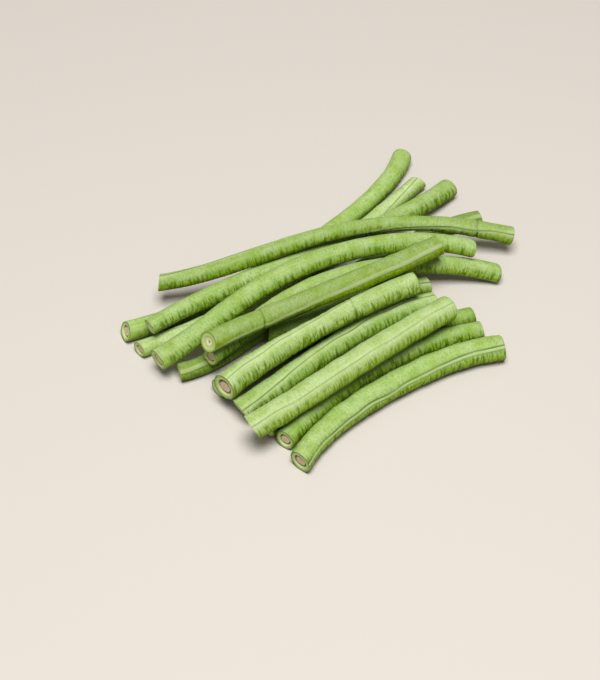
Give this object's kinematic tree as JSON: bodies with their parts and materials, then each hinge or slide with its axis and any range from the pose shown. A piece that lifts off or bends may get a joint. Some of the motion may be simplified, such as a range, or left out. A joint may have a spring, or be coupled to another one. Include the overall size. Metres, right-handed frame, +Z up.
{
  "type": "bunch of green beans",
  "caption": "Loose pile of cut lengths of long green bean pod, running one way, some bowed and crossing, with seamed skin and open cut ends.",
  "frame": {"origin": "on the resting surface, under the middle of the pile's bounding box", "axes": "+Z up; +X along the beans, from their near cut ends to the fanned-out ends; +Y from the thick beans at the front to the thin ones at the back"},
  "size_m": [0.1544, 0.1198, 0.0246],
  "materials": {
    "skin_light": "waxy satin bean skin",
    "skin_mid": "waxy satin bean skin",
    "skin_deep": "waxy satin bean skin",
    "seed": "dull, pale and damp"
  },
  "bodies": {
    "root": {"bean_fan_back": "skin_mid", "seed_fan_back": "seed", "bean_fan_middle": "skin_light", "seed_fan_middle": "seed", "bean_fan_over": "skin_mid", "bean_long_hidden": "skin_deep", "bean_arched": "skin_mid", "seed_arched": "seed", "bean_long_bowed": "skin_mid", "seed_long_bowed": "seed", "bean_straight_top": "skin_light", "bean_thin_top": "skin_mid", "bean_wide_end": "skin_light", "seed_wide_end": "seed", "bean_under_wide_end": "skin_mid", "bean_short_gap": "skin_deep", "bean_low_seamed": "skin_mid", "bean_broad_top": "skin_light", "bean_under_broad": "skin_deep", "bean_front_inner": "skin_mid", "seed_front_inner": "seed", "bean_front_outer": "skin_mid", "seed_front_outer": "seed"}
  },
  "joints": []
}
